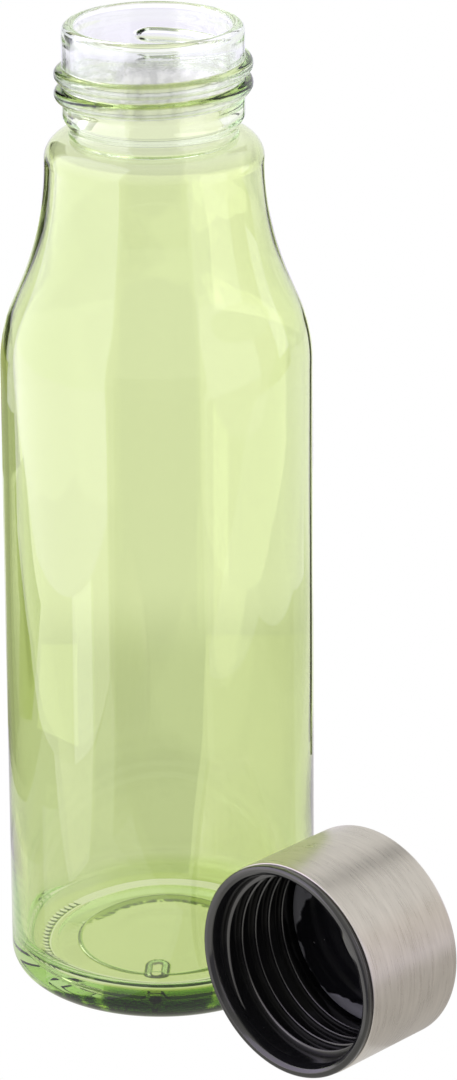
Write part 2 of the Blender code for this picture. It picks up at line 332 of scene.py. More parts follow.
# Studio, in metres from the bottle's axis
CAMERA_BACK = 0.93749
CAMERA_HEIGHT = 0.46430
CAMERA_YAW = math.radians(0.9324)
CAMERA_PITCH = math.radians(21.1759)
CAMERA_ROLL = math.radians(-0.3274)
SENSOR_HEIGHT_MM = 36.0
LENS_MM = 153.146
ROOM_LIGHT = 0.95
TABLE_HALF_SIZE = 4.0
LAYER_HEIGHT = 0.0001
UNDER_RADIUS = 0.0345

# The table's light at distances behind the bottle's axis
TABLE_STRENGTH = 2.0
TABLE_RAMP_LENGTH = 1.2
TABLE_RAMP = (
    (0.0, (0.79, 0.78, 0.77)),
    (0.165, (0.81, 0.80, 0.80)),
    (0.235, (1.11, 1.07, 1.18)),
    (0.645, (1.13, 1.09, 1.22)),
    (0.672, (0.90, 0.87, 1.00)),
    (0.695, (0.92, 0.89, 1.02)),
    (1.2, (0.95, 0.93, 1.03)),
)

# Places (x, y) round the bottle's axis, along which the studio's cards stand
LEFT_CARD = (
    (-0.131, -0.187), (-0.134, -0.130), (-0.146, -0.080), (-0.181, 0.014),
    (-0.220, 0.065), (-0.244, 0.141), (-0.252, 0.170),
)
RIGHT_CARD = (
    (0.136, -0.207), (0.234, -0.211), (0.353, -0.180), (0.473, -0.100),
    (0.615, 0.097), (0.790, 0.336),
)
RIGHT_TOP = 0.281
FRONT_CARD = ((-0.55, -0.90), (0.55, -0.90))
LEFT_BRIGHT_CARD = ((-0.134, -0.125), (-0.146, -0.080), (-0.165, -0.030))
DARK_LEFT_CARD = ((-0.40, 0.34), (-0.232, 0.555))
DARK_LEFT_LOW_CARD = ((-0.345, 0.41), (-0.232, 0.555))
DARK_HIGH_CARD = (polar(44.0, 0.6), polar(60.0, 0.6))

# Each card's name, places, bottom, top and light. Only reflections and glass show them
CARDS = (
    ("left_low", LEFT_CARD, 0.0, 0.045, (1.9, 1.83, 1.95)),
    ("left_bright", LEFT_BRIGHT_CARD, 0.0, 0.045, (3.2, 3.1, 3.5)),
    ("left_middle", LEFT_CARD, 0.045, 0.125, (2.3, 2.1, 2.85)),
    ("left_high", LEFT_CARD, 0.125, 0.55, (2.15, 2.08, 2.55)),
    ("right_front_low", RIGHT_CARD[:4], 0.0, 0.09, (0.90, 0.86, 0.92)),
    ("right_front", RIGHT_CARD[:4], 0.09, RIGHT_TOP, (1.33, 1.27, 1.5)),
    ("right_low", RIGHT_CARD[3:], 0.0, 0.11, (0.75, 0.71, 0.68)),
    ("right_middle", RIGHT_CARD[3:5], 0.11, RIGHT_TOP, (0.80, 0.76, 0.70)),
    ("right_back", RIGHT_CARD[4:], 0.11, RIGHT_TOP, (1.5, 1.42, 1.8)),
    ("front_low", FRONT_CARD, 0.0, 0.22, (0.45, 0.45, 0.49)),
    ("front_high", FRONT_CARD, 0.22, 0.9, (0.75, 0.75, 0.80)),
    ("dark_left", DARK_LEFT_CARD, 0.20, 0.50, (0.04, 0.045, 0.03)),
    ("dark_left_low", DARK_LEFT_LOW_CARD, 0.0, 0.08, (0.04, 0.045, 0.03)),
    ("dark_high", DARK_HIGH_CARD, 0.47, 0.75, (0.12, 0.12, 0.12)),
)

# Lighter and darker areas of the table, as places (x, y) round the bottle's axis
FRONT = ((-0.07, -0.11), (-0.50, -0.85), (0.50, -0.85), (0.07, -0.11))
LEFT = ((-0.036, -0.02), (-0.13, 0.0), (-0.13, -0.19), (0.02, -0.09), (0.0, -0.06))
LEFT_FOOT = ((-0.085, -0.045), (-0.165, -0.030), (-0.146, -0.080), (-0.134, -0.125), (-0.085, -0.075))
RIGHT = (
    (0.13, -0.19), (0.25, -0.07), (0.24, 0.10), (0.20, 0.17),
    (0.40, 0.40), (1.2, 0.8), (0.6, -0.9), (0.40, -0.62),
)
RIGHT_NEAR = ((0.05, -0.06), (0.13, -0.18), (0.25, -0.07), (0.24, 0.10), (0.05, 0.0))
UNDER = tuple(polar(7.5 * i, UNDER_RADIUS) for i in range(48))
DARK_LEFT = (
    (-0.115, 0.040), (-0.060, 0.125), (-0.16, 0.42), (-0.32, 0.24),
    (-0.244, 0.14), (-0.22, 0.062), (-0.175, 0.005),
)
LEFT_EDGE = (
    (-0.045, 0.130), (-0.046, 0.215), (-0.075, 0.330), (-0.097, 0.30),
    (-0.066, 0.21), (-0.062, 0.13),
)
LEFT_EDGE_FAR = ((-0.080, 0.320), (-0.110, 0.430), (-0.180, 0.560), (-0.40, 0.40), (-0.19, 0.27))
LEFT_SHOULDER = ((-0.185, 0.590), (-0.225, 0.705), (-0.45, 0.60), (-0.40, 0.50))
LEFT_STREAK = ((-0.025, 0.115), (-0.027, 0.185), (-0.044, 0.185), (-0.041, 0.125))
RIGHT_BACK = ((0.006, 0.033), (0.013, 0.19), (0.16, 0.19), (0.12, 0.01), (0.037, 0.012))
LEFT_BACK = ((-0.040, 0.0), (-0.042, 0.055), (-0.075, 0.066), (-0.095, 0.0))
RIGHT_SHOULDER = ((0.020, 0.470), (0.025, 0.640), (0.170, 0.640), (0.130, 0.470))
DARK_RIGHT = ((0.0875, 0.099), (0.4416, 0.794), (0.326, 0.843), (0.072, 0.1055))

# Each area's name, layer above the table, places and light
TABLE_AREAS = (
    ("front", 1, FRONT, (0.40, 0.39, 0.46)),
    ("left", 1, LEFT, (1.3, 1.28, 1.32)),
    ("left_foot", 2, LEFT_FOOT, (2.3, 2.2, 2.3)),
    ("right", 1, RIGHT, (1.17, 1.12, 1.32)),
    ("right_near", 2, RIGHT_NEAR, (0.60, 0.58, 0.56)),
    ("under", 1, UNDER, (0.82, 0.81, 0.72)),
    ("dark_left", 2, DARK_LEFT, (0.46, 0.48, 0.32)),
    ("left_edge", 1, LEFT_EDGE, (0.64, 0.68, 0.38)),
    ("left_edge_far", 1, LEFT_EDGE_FAR, (0.42, 0.44, 0.22)),
    ("left_shoulder", 1, LEFT_SHOULDER, (0.10, 0.11, 0.06)),
    ("left_streak", 1, LEFT_STREAK, (0.97, 0.96, 0.95)),
    ("right_back", 1, RIGHT_BACK, (0.96, 0.94, 0.94)),
    ("left_back", 1, LEFT_BACK, (1.04, 1.00, 1.02)),
    ("right_shoulder", 1, RIGHT_SHOULDER, (1.29, 1.23, 1.42)),
    ("dark_right", 2, DARK_RIGHT, (0.06, 0.06, 0.04)),
)

BOTTLE_LOW, BOTTLE_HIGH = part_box("bottle")
AXIS = 0.5 * (Vector(BOTTLE_LOW) + Vector(BOTTLE_HIGH))
AXIS.z = 0.0


def between(start, end, part):
    """The value that lies this part of the way from start to end."""
    return start + (end - start) * part


def point_at(r, z, angle):
    """The point at this radius, height and angle."""
    return Vector((r * math.cos(angle), r * math.sin(angle), z))


def arc(centre, radius, start_deg, end_deg, pieces):
    """Points (r, z) of an arc, both ends included."""
    points = []
    for i in range(pieces + 1):
        angle = math.radians(between(start_deg, end_deg, i / pieces))
        points.append((centre[0] + radius * math.cos(angle), centre[1] + radius * math.sin(angle)))
    return points


def smooth_step(value, start, end):
    """0 before start, 1 after end, and a soft change between them."""
    part = min(max((value - start) / (end - start), 0.0), 1.0)
    return part * part * (3.0 - 2.0 * part)


def smooth_max(a, b, width):
    """The larger of two, with a rounded change from one to the other."""
    blend = max(width - abs(a - b), 0.0) / width
    return max(a, b) + 0.25 * width * blend * blend


def angle_apart(angle, other):
    """The angle between two directions, from 0 to half a turn."""
    return abs((angle - other + math.pi) % (2.0 * math.pi) - math.pi)


def filled(points, step):
    """The same outline, with points added so that none lie further apart than step."""
    result = [points[0]]
    for start, end in zip(points[:-1], points[1:]):
        count = max(1, math.ceil(math.dist(start, end) / step))
        for i in range(1, count + 1):
            result.append((between(start[0], end[0], i / count), between(start[1], end[1], i / count)))
    return result


def rounded(outline, radius, pieces):
    """The outline with its inner corners rounded off."""
    points = [outline[0]]
    for before, corner, after in zip(outline[:-2], outline[1:-1], outline[2:]):
        middle = Vector(corner)
        start = middle.lerp(Vector(before), radius / math.dist(corner, before))
        end = middle.lerp(Vector(after), radius / math.dist(corner, after))
        for i in range(pieces + 1):
            part = i / pieces
            points.append(tuple(start.lerp(middle, part).lerp(middle.lerp(end, part), part)))
    return points + [outline[-1]]


def body_sweep(inset, pieces):
    """The wall from the straight body to the collar, going up, moved inwards by inset."""
    slope = math.degrees(SHOULDER_SLOPE)
    shoulder = (BODY_TOP_RADIUS - SHOULDER_RADIUS, SHOULDER_START)
    points = arc(shoulder, SHOULDER_RADIUS - inset, 0.0, slope, pieces)
    end_r = shoulder[0] + SHOULDER_RADIUS * math.cos(SHOULDER_SLOPE)
    end_z = shoulder[1] + SHOULDER_RADIUS * math.sin(SHOULDER_SLOPE)
    sweep_r = WAIST_RADIUS + WAIST_SWEEP_RADIUS * (1.0 - math.cos(SHOULDER_SLOPE))
    sweep_z = end_z + (end_r - sweep_r) / math.tan(SHOULDER_SLOPE)
    waist = (WAIST_RADIUS + WAIST_SWEEP_RADIUS, sweep_z + WAIST_SWEEP_RADIUS * math.sin(SHOULDER_SLOPE))
    points += arc(waist, WAIST_SWEEP_RADIUS + inset, 180.0 + slope, 180.0, 2 * pieces)
    return points


def lower_outside():
    """The lacquered outside, from the bearing ring up to the top of the collar."""
    heel = (BODY_RADIUS - HEEL_RADIUS, HEEL_RADIUS)
    points = arc(heel, HEEL_RADIUS, -90.0, 0.0, 20)
    points += body_sweep(0.0, 12)
    collar = (WAIST_RADIUS - COLLAR_ROUND, COLLAR_TOP - COLLAR_ROUND)
    points += arc(collar, COLLAR_ROUND, 0.0, 90.0, 18)
    return filled(points, ROW_STEP)


def neck_outside():
    """From the tuck over the collar up to the start of the lip's round."""
    under_r = NECK_RADIUS - NECK_UNDER_ROUND
    points = arc((under_r, NECK_UNDERSIDE), NECK_UNDER_ROUND, -60.0, 0.0, 8)
    points.append((NECK_RADIUS, BOTTLE_HEIGHT - LIP_OUTER_ROUND))
    return points[:-2] + filled(points[-2:], NECK_ROW_STEP)


def lip():
    """Over the lip, from its outside to its inside."""
    outer = (NECK_RADIUS - LIP_OUTER_ROUND, BOTTLE_HEIGHT - LIP_OUTER_ROUND)
    inner = (MOUTH_RADIUS + LIP_INNER_ROUND, BOTTLE_HEIGHT - LIP_INNER_ROUND)
    return arc(outer, LIP_OUTER_ROUND, 0.0, 90.0, 10)[1:] + arc(inner, LIP_INNER_ROUND, 90.0, 180.0, 8)


def foot_radius(z):
    """The inside of the body's lower part, where the wall thickens towards the floor."""
    outside = BODY_RADIUS + (BODY_TOP_RADIUS - BODY_RADIUS) * z / SHOULDER_START
    return outside - WALL - FOOT_EXTRA * (1.0 - z / FOOT_HEIGHT) ** 2


def bottle_inside():
    """From the lip down to the middle of the floor."""
    corner_z = FLOOR_EDGE + INNER_HEEL_RADIUS
    corner_r = foot_radius(corner_z) - INNER_HEEL_RADIUS
    points = [(0.0, FLOOR_CENTRE), (0.5 * corner_r, between(FLOOR_CENTRE, FLOOR_EDGE, 0.25))]
    points += arc((corner_r, corner_z), INNER_HEEL_RADIUS, -90.0, 0.0, 14)
    for i in range(1, FOOT_ROWS + 1):
        z = between(corner_z, FOOT_HEIGHT, i / FOOT_ROWS)
        points.append((foot_radius(z), z))
    points += body_sweep(WALL, 12)
    collar = (WAIST_RADIUS - COLLAR_ROUND, COLLAR_TOP - COLLAR_ROUND)
    points += arc(collar, COLLAR_ROUND - WALL, 0.0, 90.0, 10)
    bend = collar[0] - THROAT_RADIUS
    points += arc((collar[0], COLLAR_TOP - WALL + bend), bend, -90.0, -180.0, 8)[1:]
    points.append((THROAT_RADIUS, BOTTLE_HEIGHT - THROAT_DEPTH))
    points.append((BORE_WIDE_RADIUS, BOTTLE_HEIGHT - MOUTH_DEPTH))
    for i in range(BORE_EASE_ROWS + 1):
        part = i / BORE_EASE_ROWS
        radius = between(BORE_WIDE_RADIUS, MOUTH_RADIUS, smooth_step(part, 0.0, 1.0))
        points.append((radius, BOTTLE_HEIGHT - BORE_WIDE_DEPTH + BORE_EASE_LENGTH * part))
    points.append((MOUTH_RADIUS, BOTTLE_HEIGHT - LIP_INNER_ROUND - LIP_GAP))
    return list(reversed(filled(points, INSIDE_ROW_STEP)))


def bottle_underside():
    """From the middle of the push-up out to the bearing ring, closer together near the slot."""
    step_r = PANEL_RADIUS - PANEL_STEP
    edge_z = PANEL_EDGE_HEIGHT + PANEL_STEP
    points = [(0.0, PUSH_UP_HEIGHT), (0.5 * step_r, between(PUSH_UP_HEIGHT, edge_z, 0.25))]
    near = [(SLOT_FINE_START, between(PUSH_UP_HEIGHT, edge_z, 0.6)), (step_r, edge_z)]
    near.append((step_r + 0.5 * PANEL_STEP, edge_z + PANEL_GROOVE))
    near.append((PANEL_RADIUS, PANEL_EDGE_HEIGHT))
    near.append((BEARING_SLOPE_RADIUS, BEARING_SLOPE_HEIGHT))
    points = filled(points, UNDERSIDE_ROW_STEP) + filled(near, SLOT_ROW_STEP)
    return points + [(BEARING_INNER_RADIUS, 0.0)]


def slot_inset(r, angle):
    """How far inside the slot's edge this place is, and less than 0 outside it."""
    along = r * math.cos(angle - SLOT_ANGLE)
    across = r * math.sin(angle - SLOT_ANGLE)
    first = SLOT_START + SLOT_HALF_WIDTH
    last = SLOT_END - SLOT_HALF_WIDTH
    beyond = max(first - along, along - last, 0.0)
    return SLOT_HALF_WIDTH - math.hypot(beyond, across)


def slot_depth(r, angle):
    """How deep the slot is here, from 0 outside it to 1 on its bottom."""
    return smooth_step(slot_inset(r, angle), 0.0, SLOT_FLANK)


def plain_point(r, z, angle):
    """Leaves a point of an outline where it is."""
    return r, z


def underside_point(r, z, angle):
    """Presses the slot into the underside."""
    return r, z + SLOT_DEPTH * slot_depth(r, angle)


def rough_patches(r, z, angle, size):
    """0 to 1, in patches of about this size."""
    return min(max(0.5 + PATCH_CONTRAST * noise.noise(point_at(r, z, angle) / size), 0.0), 1.0)


def back_painted_shade(r, z, angle):
    """Painted shade at the back of the underside, as thicker lacquer: a dark line in patches, and a
    broader band outside it.
    """
    back = smooth_step(math.cos(angle - BACK_SHADE_ANGLE), *BACK_SHADE_COSINES)
    dark_line_r = PANEL_RADIUS - BACK_SHADE_SHIFT * back
    dark_line = 1.0 - smooth_step(abs(r - dark_line_r), 0.3 * BACK_LINE_HALF_WIDTH, BACK_LINE_HALF_WIDTH)
    dark_line *= rough_patches(r, z, angle, BACK_LINE_PATCH_SIZE)
    spread_shade = smooth_step(r, dark_line_r, dark_line_r + BACK_LINE_HALF_WIDTH)
    spread_shade *= 1.0 - smooth_step(r, PANEL_RADIUS, BACK_SHADE_END_RADIUS)
    return back * (BACK_LINE_PAINTED_SHADE * dark_line + BACK_PAINTED_SHADE * spread_shade)


def underside_lacquer_and_shade(r, z, angle):
    """The coat, thicker in the groove round the panel at the front, on the slot's sides and at the
    back, which paints shade there.
    """
    from_groove = abs(r - PANEL_RADIUS + 0.5 * PANEL_STEP)
    groove = 1.0 - smooth_step(from_groove, 0.5 * PANEL_STEP, PANEL_STEP)
    groove *= smooth_step(-math.sin(angle), *GROOVE_SINES) * (1.0 - slot_depth(r, angle))
    from_line = abs(slot_inset(r, angle) - 0.3 * SLOT_FLANK)
    line = 1.0 - smooth_step(from_line, 0.5 * SLOT_LINE_HALF_WIDTH, SLOT_LINE_HALF_WIDTH)
    return 1.0 + max(GROOVE_PAINTED_SHADE * groove, SLOT_PAINTED_SHADE * line, back_painted_shade(r, z, angle))


def end_size(turn, turns, fade_turns):
    """The size of a thread at this turn: 1 along its length, and down to 0 at both ends."""
    return math.sin(0.5 * math.pi * min(1.0, turn / fade_turns, (turns - turn) / fade_turns))


def bead_reach(angle, z):
    """How far the thread's bead reaches from the axis at this place, or 0 away from it.

    It is a circle, which goes on in a straight line where its side gets too steep.
    """
    turn_down = ((BEAD_TOP_ANGLE - angle) / (2.0 * math.pi)) % 1.0
    reach = 0.0
    while turn_down <= BEAD_TURNS:
        size = end_size(turn_down, BEAD_TURNS, BEAD_FADE_TURNS)
        radius = BEAD_RADIUS * max(size, BEAD_LEAST_SIZE)
        centre = BEAD_CENTRE_RADIUS - BEAD_SINK * (1.0 - size)
        offset = abs(z - (BEAD_TOP - PITCH * turn_down))
        steep = BEAD_ROUND_SHARE * radius
        rise = math.sqrt(radius * radius - min(offset, steep) ** 2)
        rise -= max(offset - steep, 0.0) * steep / math.sqrt(radius * radius - steep * steep)
        reach = max(reach, centre + rise)
        turn_down += 1.0
    return reach


def neck_point(r, z, angle):
    """Raises the thread's bead out of the neck, with a fillet."""
    return smooth_max(r, bead_reach(angle, z), BEAD_FILLET), z


def heel_painted_shade(r, z, angle):
    """Painted shade round the heel, as thicker lacquer: at the front and more so at the right, in
    patches, and a thin band at the back.
    """
    turn = angle % (2.0 * math.pi)
    front = smooth_step(turn, HEEL_SHADE_START, HEEL_SHADE_FULL)
    front *= smooth_step(-math.sin(turn), 0.0, 0.1)
    height = between(HEEL_SHADE_LOW_HEIGHT, HEEL_SHADE_HEIGHT, front)
    covered = smooth_step(front, 0.0, 0.05) * (1.0 - smooth_step(z, height - HEEL_SHADE_EDGE, height))
    rough = rough_patches(r, 0.4 * z, angle, HEEL_PATCH_SIZE)
    patch = between(HEEL_PATCH_LEAST, 1.0, smooth_step(rough, *HEEL_PATCH_STEP))
    patch = max(patch, smooth_step(math.cos(turn - SLOT_ANGLE), *HEEL_FULL_COSINES))
    back = smooth_step(math.cos(turn - BACK_HEEL_ANGLE), *BACK_HEEL_COSINES)
    back *= 1.0 - smooth_step(z, *BACK_HEEL_EDGE)
    return HEEL_PAINTED_SHADE * covered * patch + BACK_HEEL_PAINTED_SHADE * back


def outside_lacquer_and_shade(r, z, angle):
    """The body's coat, thinner over the top of the collar, with painted shade round the heel as thicker
    lacquer.
    """
    collar = (1.0 - COLLAR_LACQUER) * smooth_step(z, COLLAR_TOP - COLLAR_ROUND, COLLAR_TOP)
    return 1.0 - collar + heel_painted_shade(r, z, angle)


def neck_lacquer_and_shade(r, z, angle):
    """Spray that drifted onto the neck, less further up, and painted dark green shade on the beads'
    slopes as thicker lacquer, most on their upper sides.
    """
    height = min(max((z - NECK_UNDERSIDE) / (BEAD_TOP - NECK_UNDERSIDE), 0.0), 1.0)
    drift = between(DRIFT_LOW, DRIFT_HIGH, height)
    if bead_reach(angle, z) < NECK_RADIUS:
        return drift
    change = bead_reach(angle, z + SLOPE_STEP) - bead_reach(angle, z - SLOPE_STEP)
    overhang = change / (2.0 * SLOPE_STEP)
    # Painted dark green shade on the beads' slopes, given as thicker lacquer
    shelf = between(BEAD_SHADE_SHELF_LOW, BEAD_SHADE_SHELF_HIGH, height)
    shelf *= smooth_step(-overhang, *BEAD_SHADE_SHELF_SLOPES)
    return drift + shelf + BEAD_SHADE_UNDERSIDE * smooth_step(overhang, *BEAD_SHADE_UNDERSIDE_SLOPES)


def neck_frost(r, z, angle):
    """A patch at the front of the neck's inside, where the tool left it rough."""
    side = angle_apart(angle, FROST_ANGLE)
    width = 1.0 - smooth_step(side, 0.7 * FROST_HALF_ANGLE, FROST_HALF_ANGLE)
    patch = 1.0 - smooth_step(side, 0.4 * FROST_PATCH_HALF_ANGLE, FROST_PATCH_HALF_ANGLE)
    height = smooth_step(z, FROST_LOW - FROST_FADE, FROST_LOW)
    height *= 1.0 - smooth_step(z, FROST_HIGH, FROST_HIGH + FROST_FADE)
    return between(width, patch, FROST_PATCH_SHARE) * height


def wavy_point(r, z, angle):
    """Moves a point of the bottle's inside a little, more so near the foot."""
    place = point_at(r, WAVE_UPRIGHT_SCALE * z, angle) / WAVE_LENGTH
    size = between(WAVE_FOOT, WAVE_BODY, smooth_step(z, 0.5 * WAVE_FOOT_HEIGHT, WAVE_FOOT_HEIGHT))
    size *= 1.0 - smooth_step(z, BOTTLE_HEIGHT - WAVE_LIP_FADE, BOTTLE_HEIGHT - LIP_INNER_ROUND)
    move = size * noise.noise(place)
    upright = smooth_step(z, FLOOR_EDGE, FLOOR_EDGE + INNER_HEEL_RADIUS)
    fade = 1.0 - smooth_step(z, COLLAR_TOP - CAVITY_SHIFT_FADE, COLLAR_TOP)
    shift = CAVITY_SHIFT * math.cos(angle) * fade
    return r + (move + shift) * upright, z + move * (1.0 - upright)


class WallMesh:
    """A closed wall that is built ring by ring along an outline.

    Its points carry how much lacquer and frost they have, and where they are on the outline, so
    that a material can follow the direction in which the piece was turned or brushed.
    """

    def __init__(self, turn=None):
        self.mesh = bmesh.new()
        self.lacquer = self.mesh.verts.layers.float.new("lacquer")
        self.frost = self.mesh.verts.layers.float.new("frost")
        self.brush = self.mesh.verts.layers.float_vector.new("brush")
        self.around = self.mesh.verts.layers.float_vector.new("around")
        self.turn = turn or Matrix.Identity(4)
        self.last = None
        self.last_place = None
        self.length = 0.0

    def ring(self, r, z, lacquer=0.0, place=plain_point, columns=BOTTLE_COLUMNS, frost=0.0):
        """Adds a ring at (r, z) and joins it to the one before. At r = 0 it is one point."""
        count = columns if r > 0.0 else 1
        self.length += math.dist(self.last_place, (r, z)) if self.last_place else 0.0
        self.last_place = (r, z)
        vertices = []
        for i in range(count):
            angle = 2.0 * math.pi * i / count
            vertex = self.mesh.verts.new(point_at(*place(r, z, angle), angle))
            vertex[self.lacquer] = lacquer(r, z, angle) if callable(lacquer) else lacquer
            vertex[self.frost] = frost(r, z, angle) if callable(frost) else frost
            vertex[self.brush] = (math.cos(angle), math.sin(angle), self.length)
            vertex[self.around] = self.turn.to_3x3() @ Vector((-math.sin(angle), math.cos(angle), 0.0))
            vertices.append(vertex)
        if self.last:
            self.join(self.last, vertices)
        self.last = vertices

    def rings(self, outline, **settings):
        """Adds a ring at each point of an outline."""
        for r, z in outline:
            self.ring(r, z, **settings)

    def join(self, one, other):
        """Faces between two rings, where one may have a whole number of times as many points."""
        turned = len(one) > len(other)
        coarse, fine = (other, one) if turned else (one, other)
        ratio = len(fine) // len(coarse)
        half = ratio // 2
        for i, a in enumerate(coarse):
            b = coarse[(i + 1) % len(coarse)]
            strip = [fine[(i * ratio + j) % len(fine)] for j in range(ratio + 1)]
            if ratio == 1:
                self.face((a, b, strip[1], strip[0]), turned)
                continue
            for j in range(ratio):
                self.face((a if j < half else b, strip[j + 1], strip[j]), turned)
            if a != b:
                self.face((a, b, strip[half]), turned)

    def face(self, vertices, turned):
        """A face, which is turned round where the finer ring is the first of the two."""
        self.mesh.faces.new(reversed(vertices) if turned else vertices)

    def finish(self, name, sharp_angle=math.pi):
        """The object, shaded smooth except over edges that are sharper than this."""
        for face in self.mesh.faces:
            face.smooth = True
        for edge in self.mesh.edges:
            edge.smooth = edge.calc_face_angle(0.0) < sharp_angle
        data = bpy.data.meshes.new(name)
        self.mesh.to_mesh(data)
        self.mesh.free()
        obj = bpy.data.objects.new(name, data)
        bpy.context.scene.collection.objects.link(obj)
        return obj


def bar_strength(angle):
    """The bars are clear at the left and worn faint elsewhere."""
    side = angle_apart(angle, BAR_CLEAR_ANGLE)
    return 1.0 - smooth_step(side, 0.65 * BAR_CLEAR_HALF_ANGLE, BAR_CLEAR_HALF_ANGLE)


def bearing_point(r, z, angle):
    """Bars stand on the bearing ring, and their tops touch the table."""
    across = (r - BAR_INNER_RADIUS) / (BAR_OUTER_RADIUS - BAR_INNER_RADIUS)
    inside = max(0.0, math.sin(math.pi * min(max(across, 0.0), 1.0)))
    strength = bar_strength(angle)
    bar = 0.5 + 0.5 * math.cos(BAR_COUNT * angle)
    lift = BAR_HEIGHT * max(0.0, 1.0 - z / (4.0 * BAR_HEIGHT))
    return r, z + lift * strength * (1.0 - bar * math.sqrt(inside))


def bearing_lacquer_and_shade(r, z, angle):
    """Thicker between the bars, which paints shade between them."""
    return 1.0 + BAR_PAINTED_SHADE * bar_strength(angle) * (0.5 - 0.5 * math.cos(BAR_COUNT * angle))


def make_bottle(glass):
    """One closed wall: underside, bearing ring, outside, neck, lip and inside."""
    wall = WallMesh()
    for r, z in bottle_underside():
        columns = UNDERSIDE_COLUMNS if r >= SLOT_FINE_START else BOTTLE_COLUMNS
        wall.ring(r, z, underside_lacquer_and_shade, underside_point, columns)
    wall.ring(RING_EDGE_RADIUS, 0.0, 1.0, bearing_point, RING_COLUMNS)
    for i in range(RING_ROWS):
        r = RING_START_RADIUS + RING_ROW_STEP * i
        wall.ring(r, 0.0, bearing_lacquer_and_shade, bearing_point, RING_COLUMNS)
    for r, z in lower_outside():
        on_ring = r > RING_FINE_RADIUS and z < RING_FINE_HEIGHT
        wall.ring(r, z, outside_lacquer_and_shade, bearing_point, RING_COLUMNS if on_ring else BOTTLE_COLUMNS)
    wall.rings(neck_outside(), lacquer=neck_lacquer_and_shade, place=neck_point)
    wall.rings(lip())
    wall.rings(bottle_inside(), place=wavy_point, frost=neck_frost)
    bottle = wall.finish("bottle_glass")
    bottle.data.transform(Matrix.Translation(AXIS))
    bottle.data.materials.append(glass)
    return bottle


def shell_profile():
    """The steel cover: from the middle of its closed end's inner side, round the hem and back."""
    inner_r = CAP_RADIUS - SHELL_THICKNESS
    inner_z = CAP_LENGTH - SHELL_THICKNESS
    inner_round = SHELL_ROUND - 0.5 * SHELL_THICKNESS
    points = [(0.0, inner_z)]
    points += arc((inner_r - inner_round, inner_z - inner_round), inner_round, 90.0, 0.0, 6)
    points += [(inner_r, SHELL_START)]
    points += arc((CAP_RADIUS - SHELL_HEM, SHELL_START + SHELL_HEM), SHELL_HEM, -90.0, 0.0, 8)
    points += arc((CAP_RADIUS - SHELL_ROUND, CAP_LENGTH - SHELL_ROUND), SHELL_ROUND, 0.0, 90.0, 12)
    points += [(0.0, CAP_LENGTH)]
    return filled(points, CAP_ROW_STEP)


def rim_profile():
    """The lining's rim, from the bore's mouth over a chamfer and a flat face to the flange."""
    crest_r = FLANGE_RADIUS - RIM_OUTER_ROUND
    outline = [(BORE_RADIUS, BORE_MOUTH_LENGTH), (CHAMFER_RADIUS, CHAMFER_DEPTH)]
    outline += [(RIM_FACE_RADIUS, 0.0), (crest_r, 0.0)]
    edge = arc((crest_r, RIM_OUTER_ROUND), RIM_OUTER_ROUND, -90.0, 0.0, 10)
    return rounded(outline, RIM_EDGE_ROUND, 5) + edge[1:]


def rim_point(r, z, angle):
    """A wavy flash of plastic reaches inwards from the chamfer on one side."""
    side = abs(angle - FLASH_ANGLE)
    width = FLASH_WIDTH * (1.0 - smooth_step(side, 0.2 * FLASH_HALF_ANGLE, FLASH_HALF_ANGLE))
    width *= 1.0 - FLASH_WAVE_SHARE + FLASH_WAVE_SHARE * math.cos(FLASH_WAVES * side)
    return r - width * (1.0 - smooth_step(r, CHAMFER_RADIUS, RIM_FACE_RADIUS)), z


def lining_bore():
    """The bore's wall, from its floor out to its mouth."""
    floor_z = CAP_LENGTH - SHELL_THICKNESS - CLEARANCE - INSERT_TOP_THICKNESS
    return filled([(BORE_RADIUS, floor_z), (BORE_RADIUS, BORE_MOUTH_LENGTH)], CAP_ROW_STEP)


def lining_back():
    """From the flange round the outside of the lining to the middle of its closed end."""
    outer_r = CAP_RADIUS - SHELL_THICKNESS - CLEARANCE
    outer_z = CAP_LENGTH - SHELL_THICKNESS - CLEARANCE
    points = [(FLANGE_RADIUS, FLANGE_LENGTH), (outer_r, FLANGE_LENGTH)]
    points += arc((outer_r - SHELL_ROUND, outer_z - SHELL_ROUND), SHELL_ROUND, 0.0, 90.0, 6)
    return points + [(0.0, outer_z)]


def ridge_section():
    """The ridge's outline as (height above the bore's wall, offset along the axis)."""
    full = BORE_RADIUS - RIDGE_CREST_RADIUS
    lean = (RIDGE_ROOT_HALF_WIDTH - RIDGE_CREST_HALF_WIDTH) / full
    foot = RIDGE_ROOT_HALF_WIDTH + RIDGE_EMBED * lean
    outline = [(-RIDGE_EMBED, -foot), (full, -RIDGE_CREST_HALF_WIDTH)]
    outline += [(full, RIDGE_CREST_HALF_WIDTH), (-RIDGE_EMBED, foot)]
    points = rounded(outline, RIDGE_EDGE_ROUND, 4)
    near_start = tuple(Vector(points[0]).lerp(Vector(points[1]), RIDGE_FLANK_SHARE))
    near_end = tuple(Vector(points[-1]).lerp(Vector(points[-2]), RIDGE_FLANK_SHARE))
    return [points[0], near_start, *points[1:-1], near_end, points[-1]]


def add_ridge(mesh):
    """Winds the thread's ridge up the bore. It sinks into the wall at its two ends."""
    full = BORE_RADIUS - RIDGE_CREST_RADIUS
    steps = round(RIDGE_TURNS * RIDGE_COLUMNS)
    last = None
    for i in range(steps + 1):
        turn = RIDGE_TURNS * i / steps
        angle = RIDGE_START_ANGLE + 2.0 * math.pi * turn
        wall_r = BORE_RADIUS + (1.0 - end_size(turn, RIDGE_TURNS, RIDGE_FADE_TURNS)) * full
        ring = []
        for height, offset in ridge_section():
            z = RIDGE_START + PITCH * turn + offset
            ring.append(mesh.verts.new(point_at(wall_r - height, z, angle)))
        if last is None:
            mesh.faces.new(reversed(ring))
        else:
            for j in range(len(ring)):
                k = (j + 1) % len(ring)
                mesh.faces.new((last[j], last[k], ring[k], ring[j]))
        last = ring
    mesh.faces.new(last)


